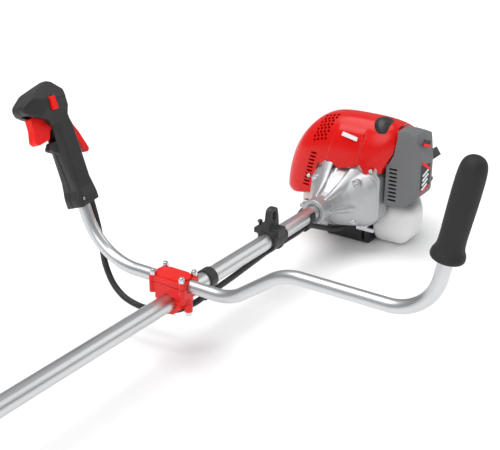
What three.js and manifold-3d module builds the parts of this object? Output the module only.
// Petrol string trimmer with a bicycle-style handlebar. Millimetres, +Z up.
// X runs along the shaft from the engine to the cutting head, Y to the operator's left.
// The origin is on the ground, under the middle of the engine foot.

import * as THREE from 'three';
import { mergeVertices } from 'three/addons/utils/BufferGeometryUtils.js';
import Module from 'manifold-3d';

const wasm = await Module();
wasm.setup();

// ---------------------------------------------------------------- driving dimensions
const shaftZ = 95;                    // shaft axis above the ground
const shaftR = 13;                    // shaft tube, 26 mm outside
const shaftBack = 125;                // engine end of the tube
const shaftLength = 1500;
const shaftFront = shaftBack + shaftLength;
const barR = 9.5;                     // handlebar tube, 19 mm outside
const barX = 549;                     // handlebar bracket along the shaft
const barLift = 27.5;                 // handlebar axis above the shaft axis
const gap = 0.3;                      // between pieces that touch
const driveR = 4;                     // drive shaft
const headTilt = THREE.MathUtils.degToRad(20);   // output shaft, tipped forward from straight down
const headX = shaftFront + 22;        // where the output axis crosses the shaft axis

// ---------------------------------------------------------------- materials
const paint = (color, roughness, metalness = 0) =>
  new THREE.MeshStandardMaterial({ color, roughness, metalness });
const red = paint('#d4120f', 0.3);
const black = paint('#1d1d1f', 0.6);
const rubber = paint('#161617', 0.85);
const grey = paint('#6a6c6f', 0.5);
const aluminium = paint('#c3c5c8', 0.35, 0.9);
const casting = paint('#a9adb1', 0.45, 0.85);
const steel = paint('#c9ccd0', 0.3, 1);
const darkSteel = paint('#55585c', 0.45, 0.9);
const milky = paint('#eef0ee', 0.5);
const foam = paint('#3a3d40', 0.95);
const nylon = paint('#e0561c', 0.4);

// ---------------------------------------------------------------- shape helpers
const group = new THREE.Group();

// the volume that a closed mesh holds, negative where its faces point in
function enclosed(places, triangles) {
  let volume = 0;
  for (let i = 0; i < triangles.length; i += 3) {
    const [a, b, c] = [0, 1, 2].map((k) => new THREE.Vector3().fromArray(places, 3 * triangles[i + k]));
    volume += a.dot(b.cross(c)) / 6;
  }
  return volume;
}

function solid(geometry) {
  const bare = geometry.clone();
  bare.deleteAttribute('normal');
  bare.deleteAttribute('uv');
  const merged = mergeVertices(bare, 1e-4);
  const vertProperties = new Float32Array(merged.attributes.position.array);
  const triVerts = new Uint32Array(merged.index.array);
  if (enclosed(vertProperties, triVerts) < 0) triVerts.reverse();
  return new wasm.Manifold(new wasm.Mesh({ numProp: 3, vertProperties, triVerts }));
}

function toGeometry(body) {
  const mesh = body.getMesh();
  const geometry = new THREE.BufferGeometry();
  geometry.setAttribute('position', new THREE.BufferAttribute(new Float32Array(mesh.vertProperties), 3));
  geometry.setIndex(new THREE.BufferAttribute(new Uint32Array(mesh.triVerts), 1));
  geometry.computeVertexNormals();
  return geometry;
}

function add(parent, name, body, material) {
  const mesh = new THREE.Mesh(toGeometry(body), material);
  mesh.name = name;
  parent.add(mesh);
  return mesh;
}

function frameAt(x, y, z) {
  const frame = new THREE.Group();
  frame.position.set(x, y, z);
  group.add(frame);
  return frame;
}

// maps a geometry made along +Z to one made along the axis named, by turning the axes in a ring
function alongAxis(geometry, axis) {
  if (axis === 'x') geometry.applyMatrix4(new THREE.Matrix4().set(0, 0, 1, 0, 1, 0, 0, 0, 0, 1, 0, 0, 0,
    0, 0, 1));
  if (axis === 'y') geometry.applyMatrix4(new THREE.Matrix4().set(0, 1, 0, 0, 0, 0, 1, 0, 1, 0, 0, 0, 0,
    0, 0, 1));
  return geometry;
}

// an outline pushed along an axis: points are (y, z) for x, (x, z) for y and (x, y) for z
function slab(points, axis, from, to) {
  const ring = axis === 'y' ? points.map(([x, z]) => new THREE.Vector2(z, x))
    : points.map(([u, v]) => new THREE.Vector2(u, v));
  const shape = new THREE.Shape(ring);
  const geometry = new THREE.ExtrudeGeometry(shape, { depth: to - from, bevelEnabled: false });
  geometry.translate(0, 0, from);
  return solid(alongAxis(geometry, axis));
}

// an outline with each corner [u, v, radius] turned into an arc
function rounded(corners, steps = 4) {
  const points = [];
  corners.forEach(([u, v, r = 0], i) => {
    const before = corners[(i + corners.length - 1) % corners.length];
    const after = corners[(i + 1) % corners.length];
    const a = new THREE.Vector2(before[0] - u, before[1] - v).normalize();
    const b = new THREE.Vector2(after[0] - u, after[1] - v).normalize();
    const half = Math.acos(THREE.MathUtils.clamp(a.dot(b), -1, 1)) / 2;
    if (r === 0) {
      points.push([u, v]);
      return;
    }
    const middle = a.clone().add(b).normalize().multiplyScalar(r / Math.sin(half));
    const start = a.clone().multiplyScalar(r / Math.tan(half)).sub(middle);
    const end = b.clone().multiplyScalar(r / Math.tan(half)).sub(middle);
    const sweep = Math.atan2(start.x * end.y - start.y * end.x, start.dot(end));
    for (let k = 0; k <= steps; k += 1) {
      const turn = start.clone().rotateAround(new THREE.Vector2(), sweep * k / steps);
      points.push([u + middle.x + turn.x, v + middle.y + turn.y]);
    }
  });
  return points;
}

function rectangle(u0, v0, u1, v1, r, steps = 3) {
  return rounded([[u0, v0, r], [u1, v0, r], [u1, v1, r], [u0, v1, r]], steps);
}

function block(x0, y0, z0, x1, y1, z1) {
  const geometry = new THREE.BoxGeometry(x1 - x0, y1 - y0, z1 - z0);
  return solid(geometry.translate((x0 + x1) / 2, (y0 + y1) / 2, (z0 + z1) / 2));
}

// a round bar along an axis; the centre is (y, z), (x, z) or (x, y)
function rod(axis, radius, from, to, u = 0, v = 0, sides = 24) {
  const geometry = new THREE.CylinderGeometry(radius, radius, to - from, sides);
  geometry.rotateX(Math.PI / 2).translate(0, 0, (from + to) / 2);
  alongAxis(geometry, axis);
  const shift = { x: [0, u, v], y: [u, 0, v], z: [u, v, 0] }[axis];
  return solid(geometry.translate(...shift));
}

// a turned piece about an axis through (0, 0); the profile is [radius, distance along the axis]
function turned(profile, axis, sides = 32) {
  const points = profile.map(([r, h]) => new THREE.Vector2(r, h));
  const geometry = new THREE.LatheGeometry(points, sides);
  geometry.rotateX(Math.PI / 2);
  return solid(alongAxis(geometry, axis));
}

// a round tube wall between two radii
function tube(axis, outer, inner, from, to, sides = 24) {
  return turned([[inner, from], [outer, from], [outer, to], [inner, to], [inner, from]], axis, sides);
}

function join(...bodies) {
  return bodies.reduce((sum, body) => sum.add(body));
}

function cut(body, ...tools) {
  return tools.reduce((rest, tool) => rest.subtract(tool), body);
}

function common(...bodies) {
  return bodies.reduce((rest, body) => rest.intersect(body));
}

// a bend between two straight runs of a tube
class Bend extends THREE.Curve {
  constructor(centre, start, end) {
    super();
    this.centre = centre;
    this.start = start.clone().sub(centre);
    this.axis = start.clone().sub(centre).cross(end.clone().sub(centre)).normalize();
    this.sweep = this.start.angleTo(end.clone().sub(centre));
  }

  getPoint(t, target = new THREE.Vector3()) {
    return target.copy(this.start).applyAxisAngle(this.axis, this.sweep * t).add(this.centre);
  }
}

// straight runs through the corners [x, y, z, bend radius], joined by round bends
function bentPath(corners) {
  const path = new THREE.CurvePath();
  const places = corners.map(([x, y, z]) => new THREE.Vector3(x, y, z));
  let last = places[0];
  for (let i = 1; i < places.length - 1; i += 1) {
    const a = places[i - 1].clone().sub(places[i]).normalize();
    const b = places[i + 1].clone().sub(places[i]).normalize();
    const half = a.angleTo(b) / 2;
    const radius = corners[i][3];
    const start = places[i].clone().addScaledVector(a, radius / Math.tan(half));
    const end = places[i].clone().addScaledVector(b, radius / Math.tan(half));
    const centre = places[i].clone().addScaledVector(a.clone().add(b).normalize(), radius / Math.sin(half));
    path.add(new THREE.LineCurve3(last, start));
    path.add(new Bend(centre, start, end));
    last = end;
  }
  path.add(new THREE.LineCurve3(last, places[places.length - 1]));
  return path;
}

function circle(radius, sides) {
  const points = [];
  for (let i = 0; i < sides; i += 1) {
    const angle = 2 * Math.PI * i / sides;
    points.push(new THREE.Vector2(radius * Math.cos(angle), radius * Math.sin(angle)));
  }
  return points;
}

function pipe(path, radius, sides, steps, inner = 0) {
  const shape = new THREE.Shape(circle(radius, sides));
  if (inner > 0) shape.holes.push(new THREE.Path(circle(inner, 6)));
  return solid(new THREE.ExtrudeGeometry(shape, { steps, extrudePath: path }));
}

// ---------------------------------------------------------------- shaft and drive shaft
// The aluminium tube from the engine clamp to the gear case, with the steel drive shaft inside it
// on two bushes. The drive shaft runs from the clutch drum to the bevel pinion.
const line = frameAt(0, 0, shaftZ);
const bushPlaces = [shaftBack + 480, shaftBack + 1020];
const driveBack = 112;
const driveFront = shaftFront - 8;

add(line, 'shaft_tube', tube('x', shaftR, shaftR - 1.5, shaftBack, shaftFront, 24), aluminium);
add(line, 'drive_shaft', rod('x', driveR, driveBack, driveFront, 0, 0, 16), steel);
bushPlaces.forEach((x, i) => {
  const ring = tube('x', shaftR - 1.5 - gap, driveR + gap, x - 15, x + 15, 16);
  add(line, `shaft_bush_${i + 1}`, ring, rubber);
});

// ---------------------------------------------------------------- handlebar bracket
// Three red castings: a lower clamp and a block hold the shaft, the block and a cap hold the bar.
// Four bolts with cap nuts hold the cap, two screws from below hold the lower clamp.
const bracket = frameAt(barX, 0, shaftZ);
const boltAlong = 14.5;
const boltAcross = 25.4;
const boltR = 2.5;
const capTop = barLift + barR + 3;
const nutPlaces = [];
for (const x of [-boltAlong, boltAlong]) {
  for (const y of [-boltAcross, boltAcross]) nutPlaces.push([x, y]);
}
const boltHoles = nutPlaces.map(([x, y]) => rod('z', boltR + gap, 10, 90, x, y, 10));
const screwHoles = [-boltAcross, boltAcross].map((y) => rod('z', boltR + gap, -60, 9, 0, y, 10));
const barBore = rod('y', barR + 2 * gap, -60, 60, 0, barLift, 20);
const shaftBore = rod('x', shaftR + gap, -60, 60, 0, 0, 24);
const flange = rounded([[-17, -22, 1], [-20.5, -26, 3], [-19, -31.5, 4], [-10, -31.5, 3], [10, -31.5, 3],
  [19, -31.5, 4], [20.5, -26, 3], [17, -22, 1], [17, 22, 1], [20.5, 26, 3], [19, 31.5, 4], [-19, 31.5, 4],
  [-20.5, 26, 3], [-17, 22, 1]], 1);
const capPlate = rounded([[-15, -17, 3], [-4, -28, 3], [4, -28, 3], [15, -17, 3], [15, 17, 3], [4, 28, 3],
  [-4, 28, 3], [-15, 17, 3]], 1);
const capBody = join(slab(flange, 'z', barLift + gap, capTop - 3), slab(capPlate, 'z', capTop - 4, capTop));
add(bracket, 'bracket_cap', cut(capBody, barBore, ...boltHoles), red);

const neck = rectangle(-14, -26, 14, 26, 5);
const blockBody = join(slab(flange, 'z', 11, barLift - gap), slab(neck, 'z', gap, 12),
  ...[-boltAcross, boltAcross].map((y) => rod('z', 6, gap, 12, 0, y, 16)));
add(bracket, 'bracket_block', cut(blockBody, barBore, shaftBore, ...boltHoles, ...screwHoles), red);

const keel = slab([[-22, -gap], [-22, -6], [-15, -12], [-8, -18], [8, -18], [15, -12], [22, -6], [22,
  -gap]], 'x', -14, 14);
const keelBody = join(keel, ...[-boltAcross, boltAcross].map((y) => rod('z', 6, -13, -gap, 0, y, 16)));
add(bracket, 'bracket_lower_clamp', cut(keelBody, shaftBore, ...screwHoles), red);

const nutSeat = capTop - 3 + gap;
const nutProfile = [[0, 13], [boltR, 13], [boltR, nutSeat], [4.6, nutSeat], [4.6, nutSeat + 5], [3.4,
  nutSeat + 8.4],
  [0, nutSeat + 9.6]];
nutPlaces.forEach(([x, y], i) => {
  add(bracket, `bracket_bolt_${i + 1}`, turned(nutProfile, 'z', 12).translate([x, y, 0]), steel);
});
const screwProfile = [[0, -19], [4.4, -19], [4.4, -13 - gap], [boltR, -13 - gap], [boltR, 8], [0, 8]];
[-boltAcross, boltAcross].forEach((y, i) => {
  add(bracket, `clamp_bolt_${i + 1}`, turned(screwProfile, 'z', 12).translate([0, y, 0]), steel);
});

// ---------------------------------------------------------------- handlebar
// One bent tube in the plane across the shaft. The right-hand run rises close to the shaft, the
// left-hand run steps up and reaches out before it rises.
const rightLean = THREE.MathUtils.degToRad(19.8);
const leftLean = THREE.MathUtils.degToRad(10.9);
const rightFoot = new THREE.Vector3(0, -163.6, 105.6);      // where the throttle handle starts
const leftFoot = new THREE.Vector3(0, 405.5, 171.7);        // where the rubber grip starts
const rightWay = new THREE.Vector3(0, -Math.sin(rightLean), Math.cos(rightLean));
const leftWay = new THREE.Vector3(0, Math.sin(leftLean), Math.cos(leftLean));
const rightTop = rightFoot.clone().addScaledVector(rightWay, 122);
const rightCorner = rightFoot.y + (rightFoot.z - barLift) * Math.tan(rightLean);
const leftTop = leftFoot.clone().addScaledVector(leftWay, 118);
const stepZ = 89.2;
const leftCorner = leftFoot.y - (leftFoot.z - stepZ) * Math.tan(leftLean);
const barPath = bentPath([
  [0, rightTop.y, rightTop.z],
  [0, rightCorner, barLift, 96],
  [0, 97.7, barLift, 75],
  [0, 184.3, stepZ, 75],
  [0, leftCorner, stepZ, 68],
  [0, leftTop.y, leftTop.z],
]);
add(bracket, 'handlebar', pipe(barPath, barR, 12, 40, barR - 1.5), aluminium);

// ---------------------------------------------------------------- rubber grip, left hand
const gripProfile = [[barR + gap, 0], [20.5, 0], [21.5, 4], [20.5, 9], [17, 13], [16.4, 30], [17.4, 75],
  [17, 110], [15.5, 124], [11, 131], [0, 134], [0, 120], [barR + gap, 120], [barR + gap, 0]];
const leftGrip = turned(gripProfile, 'z', 20).rotate([-THREE.MathUtils.radToDeg(leftLean), 0, 0])
  .translate([0, leftFoot.y, leftFoot.z]);
add(bracket, 'rubber_grip', leftGrip, rubber);

// ---------------------------------------------------------------- throttle handle, right hand
// Drawn upright: X points forward to the trigger, Z up along the bar from the foot of the handle.
// Its own frame leans with the bar. Two half shells meet on the plane across Y.
const handle = new THREE.Group();
handle.position.copy(rightFoot);
handle.rotation.x = rightLean;
bracket.add(handle);

const handleSide = rounded([[-18, 5, 4], [-24, 15, 4], [-19, 28, 10], [-20, 60, 20], [-19, 100, 20],
  [-9, 134, 6], [-17, 160, 6], [-11, 184, 3], [-6, 187, 2], [34, 177, 20], [62, 163, 5], [65, 157, 5],
  [58, 149, 6], [28, 134, 10], [21, 110, 6], [30, 98, 3], [35, 92, 3], [21, 85, 4], [18, 50, 20], [17, 26,
    10],
  [23, 11, 4], [21, 0, 4]], 2);
const handleFront = rounded([[-18, 0, 4], [-20, 14, 6], [-17, 28, 8], [-17, 126, 10], [-22, 146, 6],
  [-22, 172, 8], [-13, 190, 6], [-4, 190, 4], [26, 163, 5], [20, 142, 6], [17, 126, 10], [17, 28, 8],
  [20, 14, 6], [18, 0, 4]], 2);
const handlePlan = rounded([[-19, -14, 6], [-10, -20, 8], [30, -22, 14], [67, -13, 12],
  [67, 11, 12], [34, 22, 14], [10, 27, 6], [-8, 26, 5], [-19, 12, 5]], 2);
const gripCore = join(rod('z', 21, -1, 130, 0, 0, 20), slab(handlePlan, 'z', 126, 192),
  turned([[0, -1], [24.5, -1], [24.5, 15], [21, 40], [0, 40]], 'z', 20), block(0, -7, 84, 40, 7, 106));
const handleBody = common(slab(handleSide, 'y', -30, 30), slab(handleFront, 'x', -60, 90), gripCore);
const hollows = [
  rod('z', barR + gap, -5, 122.5, 0, 0, 16),
  rod('z', barR + 1, -5, 8, 0, 0, 16),
  block(10.2, -7, 102, 66, 7, 149),
  block(-40, -6, 60, -10.2, 6, 136),
  block(-3, -10.1, 152, 13, 10.1, 170),
  rod('y', 2.5 + gap, -30, 30, 12.7, 12, 12),
  rod('z', 4.6, -3, 14, -15.2, 0, 12),
];
const handleCut = cut(handleBody, ...hollows);
add(handle, 'throttle_shell_outer', common(handleCut, block(-80, -40, -5, 90, -0.15, 200)), black);
add(handle, 'throttle_shell_inner', cut(common(handleCut, block(-80, 0.15, -5, 90, 40, 200)),
  block(11.5, 20.8, 145, 22.5, 40, 174)), black);
add(handle, 'handle_screw', rod('y', 2.3, -17, 19.4, 12.7, 12, 12), steel);

// The trigger swings on a pin at its top; the lockout lever lies along the back of the grip.
const triggerSide = rounded([[13, 138, 3], [24, 143, 3], [51, 144, 4], [52, 126, 14], [57, 110, 4],
  [52, 104, 4], [29, 107, 4], [23, 119, 6], [13, 124, 3]], 2);
add(handle, 'throttle_trigger', slab(triggerSide, 'y', -6.5, 6.5), red);
const lockSide = rounded([[-12, 131, 2], [-16, 132, 3], [-30, 104, 12], [-40, 76, 3], [-35, 68, 3],
  [-25, 90, 8], [-12, 120, 3]], 2);
add(handle, 'lockout_lever', slab(lockSide, 'y', -5.5, 5.5), red);
add(handle, 'stop_switch', slab(rectangle(12, 146, 22, 165, 1.5, 2), 'y', 21.1, 26.5), red);

// ---------------------------------------------------------------- control cable and its clips
// Throttle cable and stop wires in one sleeve. It leaves the back of the throttle handle, hangs in a
// loop beside the bracket, and is held under the shaft by three clips on its way to the engine.
const cableR = 4;
const cableDrop = shaftR + cableR + 2;
const frontDrop = 27;                 // the cable hangs lower where it comes out from under the bracket
const cablePoints = [
  [-15, -163, 109], [-16, -159, 92], [-18, -154, 64], [-20, -151, 34], [-20, -144, 0], [-17, -122, -28],
  [-14, -88, -40], [-16, -50, -40], [-28, -18, -36], [-48, -3, -30], [-74, 0, -frontDrop],
  [-110, 0, -26.5], [-160, 0, -24], [-205, 0, -21], [-234, 0, -cableDrop], [-254, 0, -cableDrop],
  [-324, 0, -cableDrop], [-367, 0, -cableDrop],
  [-384, 0, -24.5], [-403, 2, -33], [-423, 4, -42], [-442, 8, -49], [-464, 12, -52.5], [-484, 14, -53],
  [-503, 14, -53],
];
const cableRoute = new THREE.CatmullRomCurve3(cablePoints.map(([x, y, z]) => new THREE.Vector3(x, y, z)));
add(bracket, 'control_cable', pipe(cableRoute, cableR, 8, 52), black);

// a snap clip: an open ring round the tube and a smaller one under it round the cable
function snapClip(width, drop = cableDrop) {
  const ring = tube('x', shaftR + 2.6, shaftR + gap, -width / 2, width / 2, 20);
  const hook = tube('x', cableR + 2.8, cableR + gap, -width / 2, width / 2, 12);
  const stalk = block(-width / 2, -3, -drop - 1, width / 2, 3, -shaftR - 1);
  const cable = rod('x', cableR + 1, -30, 30, 0, -drop, 12);
  const opening = drop > cableDrop ? block(-30, -30, -9, 30, -6, 8) : block(-30, -12, 4, 30, 12, 30);
  return cut(join(ring, hook.translate([0, 0, -drop]), stalk), cable, opening,
    rod('x', shaftR + gap, -30, 30, 0, 0, 20), block(-30, -9, -drop - 3, 30, 0, -drop + 1));
}
const clipPlaces = { cable_clip_front: barX - 79, cable_clip_rear: barX - 362 };
for (const [name, x] of Object.entries(clipPlaces)) {
  const clip = name === 'cable_clip_rear' ? snapClip(12) : snapClip(16, frontDrop);
  add(line, name, clip.translate([x, 0, 0]), black);
}

// ---------------------------------------------------------------- harness hanger
// A clamp round the tube with an upright eye for the harness hook, and a strap for the cable below.
const hangerX = barX - 254;
const hangerRing = tube('x', shaftR + 5, shaftR + gap, -15, 15, 20);
const eyePlate = slab(rounded([[-15, 12], [15, 12], [14, 32, 3], [10, 54, 9], [-10, 54, 9], [-14, 32, 3]],
  4),
  'y', -5, 5);
const eyeHole = slab(rounded([[-5.5, 30, 5.4], [5.5, 30, 5.4], [5.5, 48, 5.4], [-5.5, 48, 5.4]], 4), 'y',
  -20, 20);
const ears = join(block(-11, -27, 8, 11, -4, 17), block(-11, 4, 8, 11, 20, 17), block(-11, -20, 12, 11,
  20, 22));
const hanger = cut(join(hangerRing, eyePlate, ears), rod('x', shaftR + gap, -30, 30, 0, 0, 20), eyeHole,
  rod('z', 2.8, 0, 40, 0, -22, 12), rod('x', cableR + 1, -30, 30, 0, -cableDrop, 12));
add(line, 'harness_hanger', hanger.translate([hangerX, 0, 0]), black);
add(line, 'strap_clip', snapClip(9).translate([hangerX - 22, 0, 0]), black);

// ---------------------------------------------------------------- engine: drive end
// The crank axis is the shaft axis. From front to back: tube clamp, clutch drum and shoes, flywheel,
// crankcase, starter.
const engine = frameAt(0, 0, shaftZ);
const stubR = 6;

const cone = turned([[0, 46], [58, 46], [58, 80], [52, 86], [45, 100], [38, 112], [30, 122], [23, 132],
  [22, 165], [0, 165]], 'x', 24);
const fanCase = slab(rounded([[-52, -20, 14], [-40, -42, 14], [58, -44, 16], [80, -26, 16], [80, 50, 8],
  [70, 58, 4], [-44, 58, 4], [-52, 50, 6]], 3), 'x', 46, 80);
const bosses = [[-36, -33], [36, -33], [-36, 33], [36, 33]].map(([y, z]) => rod('x', 8, 60, 88, y, z, 12));
const rib = slab([[60, 0], [132, 0], [132, 21], [112, 37], [84, 62], [60, 62]], 'y', -3, 3);
const clampEars = block(134, -31, -8, 160, -12, 8);
const trims = [block(40, -90, -80, 100, 90, -46), block(40, -90, -80, 90, -52.3, 90), block(126, -40, -40,
  170, 40, -19),
  block(40, -90, 58, 90, 90, 90)];
const housingOuter = cut(join(cone, fanCase, ...bosses, rib, clampEars), ...trims);
const housingInner = join(
  rod('x', shaftR + gap, 118, 170, 0, 0, 24),
  turned([[0, 80], [40, 80], [38, 108], [12, 112], [12, 120], [0, 120]], 'x', 24),
  rod('x', 43.5, 40, 83, 0, 0, 24),
  block(128, -40, -1.5, 170, 0, 1.5),
  rod('z', 2.8, -20, 20, 147, -24, 12),
  rod('z', 5, 8, 20, 147, -24, 12),
);
add(engine, 'clutch_housing', cut(housingOuter, housingInner), casting);
add(engine, 'clamp_screw', turned([[0, -12], [2.5, -12], [2.5, 8 + gap], [4.6, 8 + gap], [4.6, 13], [0,
  13]], 'z', 12)
  .translate([147, -24, 0]), steel);

const drum = cut(turned([[0, 87], [36.5, 87], [36.5, 106], [8, 106], [8, 111], [11, 111], [11, 118], [0,
  118]], 'x', 24),
  rod('x', 34.5, 80, 103, 0, 0, 24), rod('x', driveR + gap, 100, 125, 0, 0, 16));
add(engine, 'clutch_drum', drum, darkSteel);

const shoes = cut(tube('x', 33.5, 20, 88, 101, 24), block(80, -40, -3, 110, 40, 3));
const hub = cut(join(rod('x', 12, 86, 101, 0, 0, 20), block(90, -6, -25, 98, 6, 25)), rod('x',
  stubR + gap, 80, 110, 0, 0, 16));
add(engine, 'clutch_shoes', join(shoes, hub), darkSteel);

const wheel = join(rod('x', 41.5, 58, 68, 0, 0, 24), rod('x', 16, 50, 84, 0, 0, 16));
const vanes = [];
for (let i = 0; i < 6; i += 1) vanes.push(block(66, -1.5, 20, 78, 1.5, 40).rotate([60 * i, 0, 0]));
add(engine, 'flywheel', cut(join(wheel, ...vanes), rod('x', stubR + gap, 40, 90, 0, 0, 16)), casting);

// ---------------------------------------------------------------- engine: crank and cylinder
// The crankcase opens up into the bore of the cylinder.
const throwR = 15;
const webs = [[-17, -8.5], [8.5, 17]].map(([a, b]) => slab(rounded([[-8, 20, 4], [8, 20, 4], [22, -14, 6],
  [12, -25, 6], [-12, -25, 6], [-22, -14, 6]], 3), 'x', a, b));
const crank = join(rod('x', stubR, 16, 100, 0, 0, 16), rod('x', stubR, -75.5, -16, 0, 0, 16), ...webs,
  rod('x', 5, -9, 9, 0, throwR, 16));
add(engine, 'crankshaft', crank, steel);

const caseOuter = slab(rectangle(-42, -50, 42, 34, 12), 'x', -44, 42);
const caseInner = join(rod('x', 30, -22, 22, 0, 0, 24), rod('x', stubR + gap, -50, 50, 0, 0, 16),
  rod('z', 21.5, 0, 40, 0, 0, 24));
add(engine, 'crankcase', cut(caseOuter, caseInner), casting);

const fins = [];
for (let i = 0; i < 4; i += 1) fins.push(slab(rectangle(-38, -38, 38, 38, 12, 1), 'z', 46 + 14 * i,
  51 + 14 * i));
const barrel = join(rod('z', 26, 34 + gap, 108, 0, 0, 20), slab(rectangle(-32, -32, 32, 32, 6, 2), 'z',
  34 + gap, 40),
  ...fins, block(-16, -42, 52, 16, 42, 72));
const plugPlace = new THREE.Vector3(12, 27, 96);
const plugWay = new THREE.Vector3(0.3, 0.58, 0.76).normalize();
function alongPlug(body) {
  const turn = new THREE.Quaternion().setFromUnitVectors(new THREE.Vector3(0, 0, 1), plugWay);
  const euler = new THREE.Euler().setFromQuaternion(turn, 'ZYX');
  const degrees = [euler.x, euler.y, euler.z].map(THREE.MathUtils.radToDeg);
  return body.rotate(degrees).translate(plugPlace.toArray());
}
const plugSeat = alongPlug(rod('z', 13, 2, 60, 0, 0, 20));
const plugHole = alongPlug(rod('z', 5.4, -10, 10, 0, 0, 16));
const cylinder = cut(join(barrel, alongPlug(rod('z', 12, -18, 2, 0, 0, 16))), rod('z', 20 + gap, 30, 88,
  0, 0, 24),
  plugHole, plugSeat);
add(engine, 'cylinder', cylinder, casting);
const plug = alongPlug(turned([[0, -9], [5, -9], [5, 2.4], [9, 2.4], [9, 10], [5, 12], [4, 30], [0, 30]],
  'z', 16));
add(engine, 'spark_plug', plug, milky);
const plugCap = alongPlug(cut(turned([[0, 12.5], [10, 12.5], [15, 22], [16, 34], [12, 43], [0, 46]], 'z',
  16),
  turned([[0, 12], [5.5, 12], [4.4, 30.4], [0, 30.4]], 'z', 16)));
add(engine, 'plug_cap', plugCap, rubber);

// ---------------------------------------------------------------- engine: muffler and intake
const mufflerBox = common(slab(rectangle(-98, 2, -59.2, 64, 12, 2), 'x', -38, 34), slab(rectangle(-38,
  -98, 34, -59.2, 12, 2), 'z', 0, 90));
add(engine, 'muffler', join(mufflerBox, rod('y', 6, -62, -42 - gap, 0, 57, 16), rod('x', 8, -52, -34, -84,
  30, 16)), darkSteel);
const carburettor = join(block(-20, 52, 44, 20, 76, 80), slab(rectangle(-18, 44, 18, 78, 5, 2), 'y',
  42 + gap, 54), rod('z', 14, 36, 46, 0, 66, 20), rod('z', 9, 78, 90, 0, 64, 20));
add(engine, 'carburettor', cut(carburettor, rod('y', 8, 40, 90, 8, 56, 16), rod('x', 10.6, -22, -14, 64,
  64, 20)), casting);
const bulb = turned([[0, -36], [7, -34], [10, -28], [10, -20 - gap], [0, -20 - gap]], 'x', 20);
add(engine, 'primer_bulb', bulb.translate([0, 64, 64]), milky);

// ---------------------------------------------------------------- engine: red cover
// A shell over the cylinder and the muffler, open below. Its left-hand side comes down beside the
// muffler, and the front edge steps over the silver housing.
function coverBody(inset) {
  const k = inset;
  const front = rounded([[-120 + k, -15 - k * 8], [-56 - k, -15 - k * 8], [-53 - k, 59 - k * 4],
    [80 - k, 59 - k * 4], [81 - k, 68], [95 - k, 94, 12], [101 - k, 124, 6], [95 - k, 133 - k, 6], [62,
      145 - k, 20],
    [-6, 146 - k, 30], [-52, 136 - k, 24], [-80 + k, 114 - k, 24], [-103 + k, 80, 30], [-118 + k, 30,
      30]], 2);
  const side = rounded([[-62 + k, -20], [84 - k, -20], [86 - k, 60, 20], [81 - k, 104, 16], [64 - k,
    134 - k, 16],
    [40, 145 - k, 20], [6, 136 - k, 30], [-30, 114 - k, 20], [-54 + k, 88 - k, 16], [-62 + k, 46, 10]], 2);
  const plan = rounded([[-62 + k, -108 + k, 22], [-20, -120 + k, 20], [26, -120 + k, 20], [74 - k, -80, 12],
    [86 - k, -44, 16], [86 - k, 70, 10], [60 - k, 108 - k, 10], [-50 + k, 100 - k, 12]], 2);
  const shoulder = rounded([[-121 + k, -30], [-119 + k, 20, 20], [-110 + k, 60, 20], [-92 + k, 94 - k, 20],
    [-58, 128 - k, 20], [-16, 152 - k, 20], [160, 160], [160, -30]], 2);
  return common(slab(front, 'x', -70, 100), slab(side, 'y', -130, 125), slab(plan, 'z', -60, 160),
    slab(shoulder, 'x', -200, 200).rotate([0, 0, 34]));
}
const underside = join(block(-80, -52.7, -40, 100, 90, 58.6), block(-80, -200, -40, 46, -52, -30));
const backOpening = block(-80, -96, -30, -58, 90, 96);
const plugWindow = alongPlug(rod('z', 23, 16, 90, 0, 0, 6));
const coolingSlots = [];
for (let i = 0; i < 8; i += 1) {
  const y = -60 - 2 * (8 - i);
  coolingSlots.push(block(40, y - 6, 4 + 8 * i, 100, y + 5, 7 + 8 * i));
}
const coverShell = cut(coverBody(0), coverBody(2.5), underside, backOpening,
  block(-80, -52, -40, -44, 92, 88), rod('x', 78, -90, -44, 0, 0, 24), plugWindow, ...coolingSlots);
add(engine, 'engine_cover', coverShell, red);

// ---------------------------------------------------------------- engine: air filter
const basePlate = slab(rectangle(-26, 6, 58, 64, 6), 'y', 84, 90);
add(engine, 'air_filter_base', cut(basePlate, rod('y', 8, 80, 95, 8, 50, 16), rod('x', 2 + gap, -30, -16,
  87, 44, 12)), black);
add(engine, 'air_filter_element', slab(rectangle(-14, 14, 44, 60, 8), 'y', 90 + gap, 108), foam);
function filterBody(inset) {
  const k = inset;
  const front = rounded([[83 + k, k], [122, 3 + k, 6], [147 - k, 28, 12], [155 - k, 50, 12], [151 - k, 90,
    14],
    [141 - k, 116, 8], [131 - k, 133 - k, 6], [120, 138 - k, 4], [102 + k, 138 - k, 2], [102 + k, 124],
      [97 + k, 94],
    [84 + k, 68]], 2);
  const side = rounded([[-30 + k, -20], [66 - k, -20], [66 - k, 148 - k, 10], [30, 138 - k, 20], [-2,
    123 - k, 10],
    [-30 + k, 106 - k, 6]], 2);
  const plan = rounded([[-30 + k, 80], [66 - k, 80], [66 - k, 142, 8], [27, 152 - k, 6], [-12, 124 - k, 12],
    [-30 + k, 108, 10]], 2);
  return common(slab(front, 'x', -60, 80), slab(side, 'y', 70, 170), slab(plan, 'z', -20, 160));
}
const filterSlots = [];
for (let i = 0; i < 9; i += 1) filterSlots.push(block(50, 90, 10 + 7 * i, 80, 105, 13.5 + 7 * i));
const filterShell = cut(filterBody(0), cut(filterBody(2.5), block(-80, 0, 93, 100, 105, 160)),
  ...filterSlots,
  block(-26.3, 60, 5.7, 58.3, 90.3, 64.3), block(-32, 80, 41.5, -24, 90.3, 46.5));
add(engine, 'air_filter_cover', filterShell, grey);
const chokeSide = rounded([[83, 48, 3], [91, 49, 3], [127, 28, 4], [123, 17, 4], [83, 39, 3]], 2);
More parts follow.
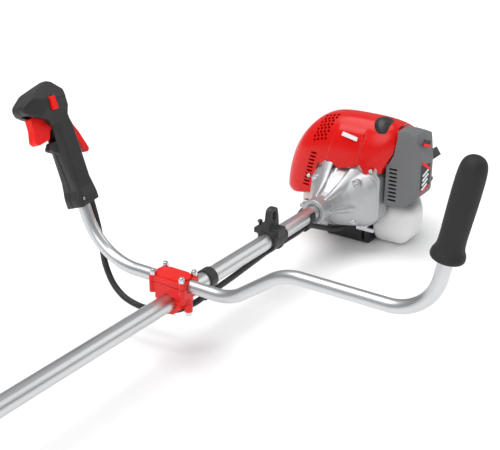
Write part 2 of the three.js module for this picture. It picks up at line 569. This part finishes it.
const choke = join(slab(chokeSide, 'x', -38, -33), rod('x', 2, -34, -18, 87, 44, 12));
add(engine, 'choke_lever', choke, red);

// ---------------------------------------------------------------- engine: tank, foot and starter
const tankFront = rounded([[-104, -19, 14], [-106, -60, 26], [-86, -94.7, 22], [98, -94.7, 26], [126, -60,
  30],
  [130, -12, 14], [60, -12, 10], [54, -53, 8], [-54, -53, 8], [-58, -19, 10]], 3);
const tankSide = rounded([[-84, -10, 12], [-84, -94.7, 18], [20, -94.7, 30], [36, -64, 26], [36, -10,
  20]], 3);
const tankPlan = rounded([[-84, -80, 16], [-40, -108, 30], [36, -108, 20], [36, 130, 20], [0, 130, 20],
  [-50, 98, 20],
  [-84, 78, 16]], 3);
const footPocket = block(-42, -46, -100, 60, 46, -40);
const starterClear = rod('x', 76 + 2, -100, -42, 0, 0, 24);
const tank = cut(common(slab(tankFront, 'x', -90, 60), slab(tankSide, 'y', -130, 130), slab(tankPlan, 'z',
  -100, 0)),
  footPocket, starterClear);
add(engine, 'fuel_tank', tank, milky);
const capTurn = turned([[0, -97], [15, -97], [17, -94], [17, -84 - gap], [0, -84 - gap]], 'x', 20);
add(engine, 'fuel_cap', capTurn.translate([0, 52, -74]), black);

const footSide = rounded([[-38, -95, 3], [38, -95, 3], [38, -66, 3], [36, -56.5], [-38, -56.5]], 2);
const footRiser = block(-36, -34, -57, 20, 34, -50 - gap);
const foot = cut(join(slab(footSide, 'y', -42, 42), footRiser), block(31, 29, -90, 50, 34, -70));
add(engine, 'engine_foot', foot, black);

const starterOuter = join(rod('x', 76, -82, -46, 0, 0, 28), rod('x', 40, -88, -80, 0, 0, 20),
  slab(rectangle(50, 30, 90, 58, 6, 2), 'x', -72, -50));
const ropeWay = new THREE.Vector3(0, 0.82, 0.57).normalize();
const ropeExit = new THREE.Vector3(-61, 90, 47);
function alongRope(body) {
  const lean = THREE.MathUtils.radToDeg(Math.atan2(ropeWay.y, ropeWay.z));
  return body.rotate([-lean, 0, 0]).translate(ropeExit.toArray());
}
const starterInner = join(rod('x', 70, -76, -40, 0, 0, 24), alongRope(rod('z', 3, -60, 20, 0, 0, 12)));
const vents = [];
for (let i = 0; i < 8; i += 1) vents.push(block(-100, -3, 46, -70, 3, 66).rotate([45 * i + 10, 0, 0]));
add(engine, 'starter_housing', cut(starterOuter, starterInner, ...vents), black);
const pulley = cut(turned([[0, -74], [36, -74], [36, -71], [31, -70], [31, -64], [36, -63], [36, -60], [0,
  -60]], 'x', 20),
  rod('x', stubR + gap, -80, -50, 0, 0, 16));
add(engine, 'starter_pulley', pulley, black);
const starterGrip = alongRope(join(rod('z', 2, -14, 22, 0, 0, 10),
  slab(rounded([[-18, 20, 3], [-6, 10, 3], [6, 10, 3], [18, 20, 3], [20, 32, 4], [-20, 32, 4]], 2), 'y',
    -8, 8)));
add(engine, 'starter_grip', starterGrip, black);

// ---------------------------------------------------------------- gear case and bevel gears
// The casting grips the front end of the tube. Its output shaft is tipped forward from straight
// down. The two bevel gears are cones about the crossing of the axes, with grooves for teeth.
const gear = frameAt(headX, 0, shaftZ);
const tipDegrees = THREE.MathUtils.radToDeg(headTilt);
const tip = (body) => body.rotate([0, -tipDegrees, 0]);

const caseSkin = join(rod('x', 19, -58, -4, 0, 0, 24),
  tip(turned([[0, -35], [21, -35], [25, -28], [25, 2], [21, 10], [10, 16], [0, 17]], 'z', 24)),
  block(-54, -14, 14, -30, 14, 26));
const caseHollow = join(rod('x', shaftR + gap, -70, -21.7, 0, 0, 24), rod('x', 15.5, -22, -2, 0, 0, 20),
  tip(rod('z', 20.5, -14, 0, 0, 0, 24)), tip(rod('z', 6.3, -40, -10, 0, 0, 16)),
  block(-70, -1.5, 0, -28, 1.5, 40), rod('y', 3, -30, 30, -42, 20, 12));
add(gear, 'gear_case', cut(caseSkin, caseHollow), casting);

// Pinion half angle 42.8 degrees and gear half angle 67.2 degrees, for 14 and 19 teeth at 110 degrees.
// Both are smooth cones that stand for the toothed gears.
const pinionProfile = [[0, -21], [6, -21], [9.5, -18.5], [12.6, -15], [6.4, -8.3], [0, -8.3]];
add(gear, 'bevel_pinion', cut(turned(pinionProfile, 'x', 20), rod('x', driveR + gap, -30, -11, 0, 0, 12)),
  steel);
const outputProfile = [[0, -46], [6, -46], [6, -13], [18.2, -13], [18.6, -8.6], [12.5, -6], [0, -6]];
add(gear, 'output_shaft', tip(turned(outputProfile, 'z', 20)), steel);

// ---------------------------------------------------------------- debris guard
// A fan-shaped plate behind the head with a skirt round its edge, screwed under the gear case.
const guardR = 171;
const guardHalf = 62;
const skirtDepth = 40;
const guardArc = [];
for (let i = 0; i <= 16; i += 1) {
  const angle = THREE.MathUtils.degToRad(180 - guardHalf + 2 * guardHalf * i / 16);
  guardArc.push([Math.cos(angle), Math.sin(angle)]);
}
const fan = (outer, inner) => [...guardArc.map(([c, q]) => [outer * c, outer * q]),
  ...guardArc.slice().reverse().map(([c, q]) => [inner * c, inner * q])];
const guardPlate = slab(fan(guardR, 27.5), 'z', -20, -17);
const guardSkirt = slab(fan(guardR, guardR - 3), 'z', -skirtDepth, -18);
const guardBoss = slab(rectangle(-58, -15, -30, 15, 4, 2), 'z', -20, 0);
const guardRibs = [-40, 0, 40].map((turn) => block(-guardR + 2, -1.5, -26, -62, 1.5, -19).rotate([0, 0,
  turn]));
const floorCut = block(-400, -300, -200, 200, 300, -shaftZ);
const socketClear = rod('x', 19 + gap, -80, 0, 0, 0, 24);
const guard = cut(tip(join(guardPlate, guardSkirt, guardBoss, ...guardRibs)), floorCut, socketClear,
  block(-100, -40, -17, 0, 40, 60));
add(gear, 'debris_guard', guard, black);
const bladeSpot = THREE.MathUtils.degToRad(guardHalf - 6);
const blade = block(-guardR + 4.6, -18, -56, -guardR + 6.2, 18, -24).rotate([0, 0,
  -THREE.MathUtils.radToDeg(bladeSpot)]);
add(gear, 'line_cutter', tip(blade), steel);

// ---------------------------------------------------------------- trimmer head
// The housing turns with the output shaft. The spool and its bump knob push up into it, and one
// nylon line runs through both eyelets.
const lineR = 1.3;
const lineZ = -50;
const headShell = cut(turned([[0, -37], [17, -37], [19, -42], [40, -46], [52, -51], [54, -68], [50, -71],
  [0, -71]], 'z', 28),
  rod('z', 6 + gap, -46.5, -30, 0, 0, 20), rod('z', 41, -75, -54, 0, 0, 28), rod('y', lineR + gap, -70,
    70, 0, lineZ, 8));
add(gear, 'trimmer_head', tip(headShell), black);
const spool = turned([[0, -82], [14, -82], [22, -77], [23, -70], [39, -68], [39, -65], [26, -64], [26,
  -62], [0, -62]], 'z', 24);
add(gear, 'spool_and_bump_knob', tip(spool), red);
add(gear, 'trimmer_line', tip(rod('y', lineR, -152, 152, 0, lineZ, 8)), nylon);

export default group;
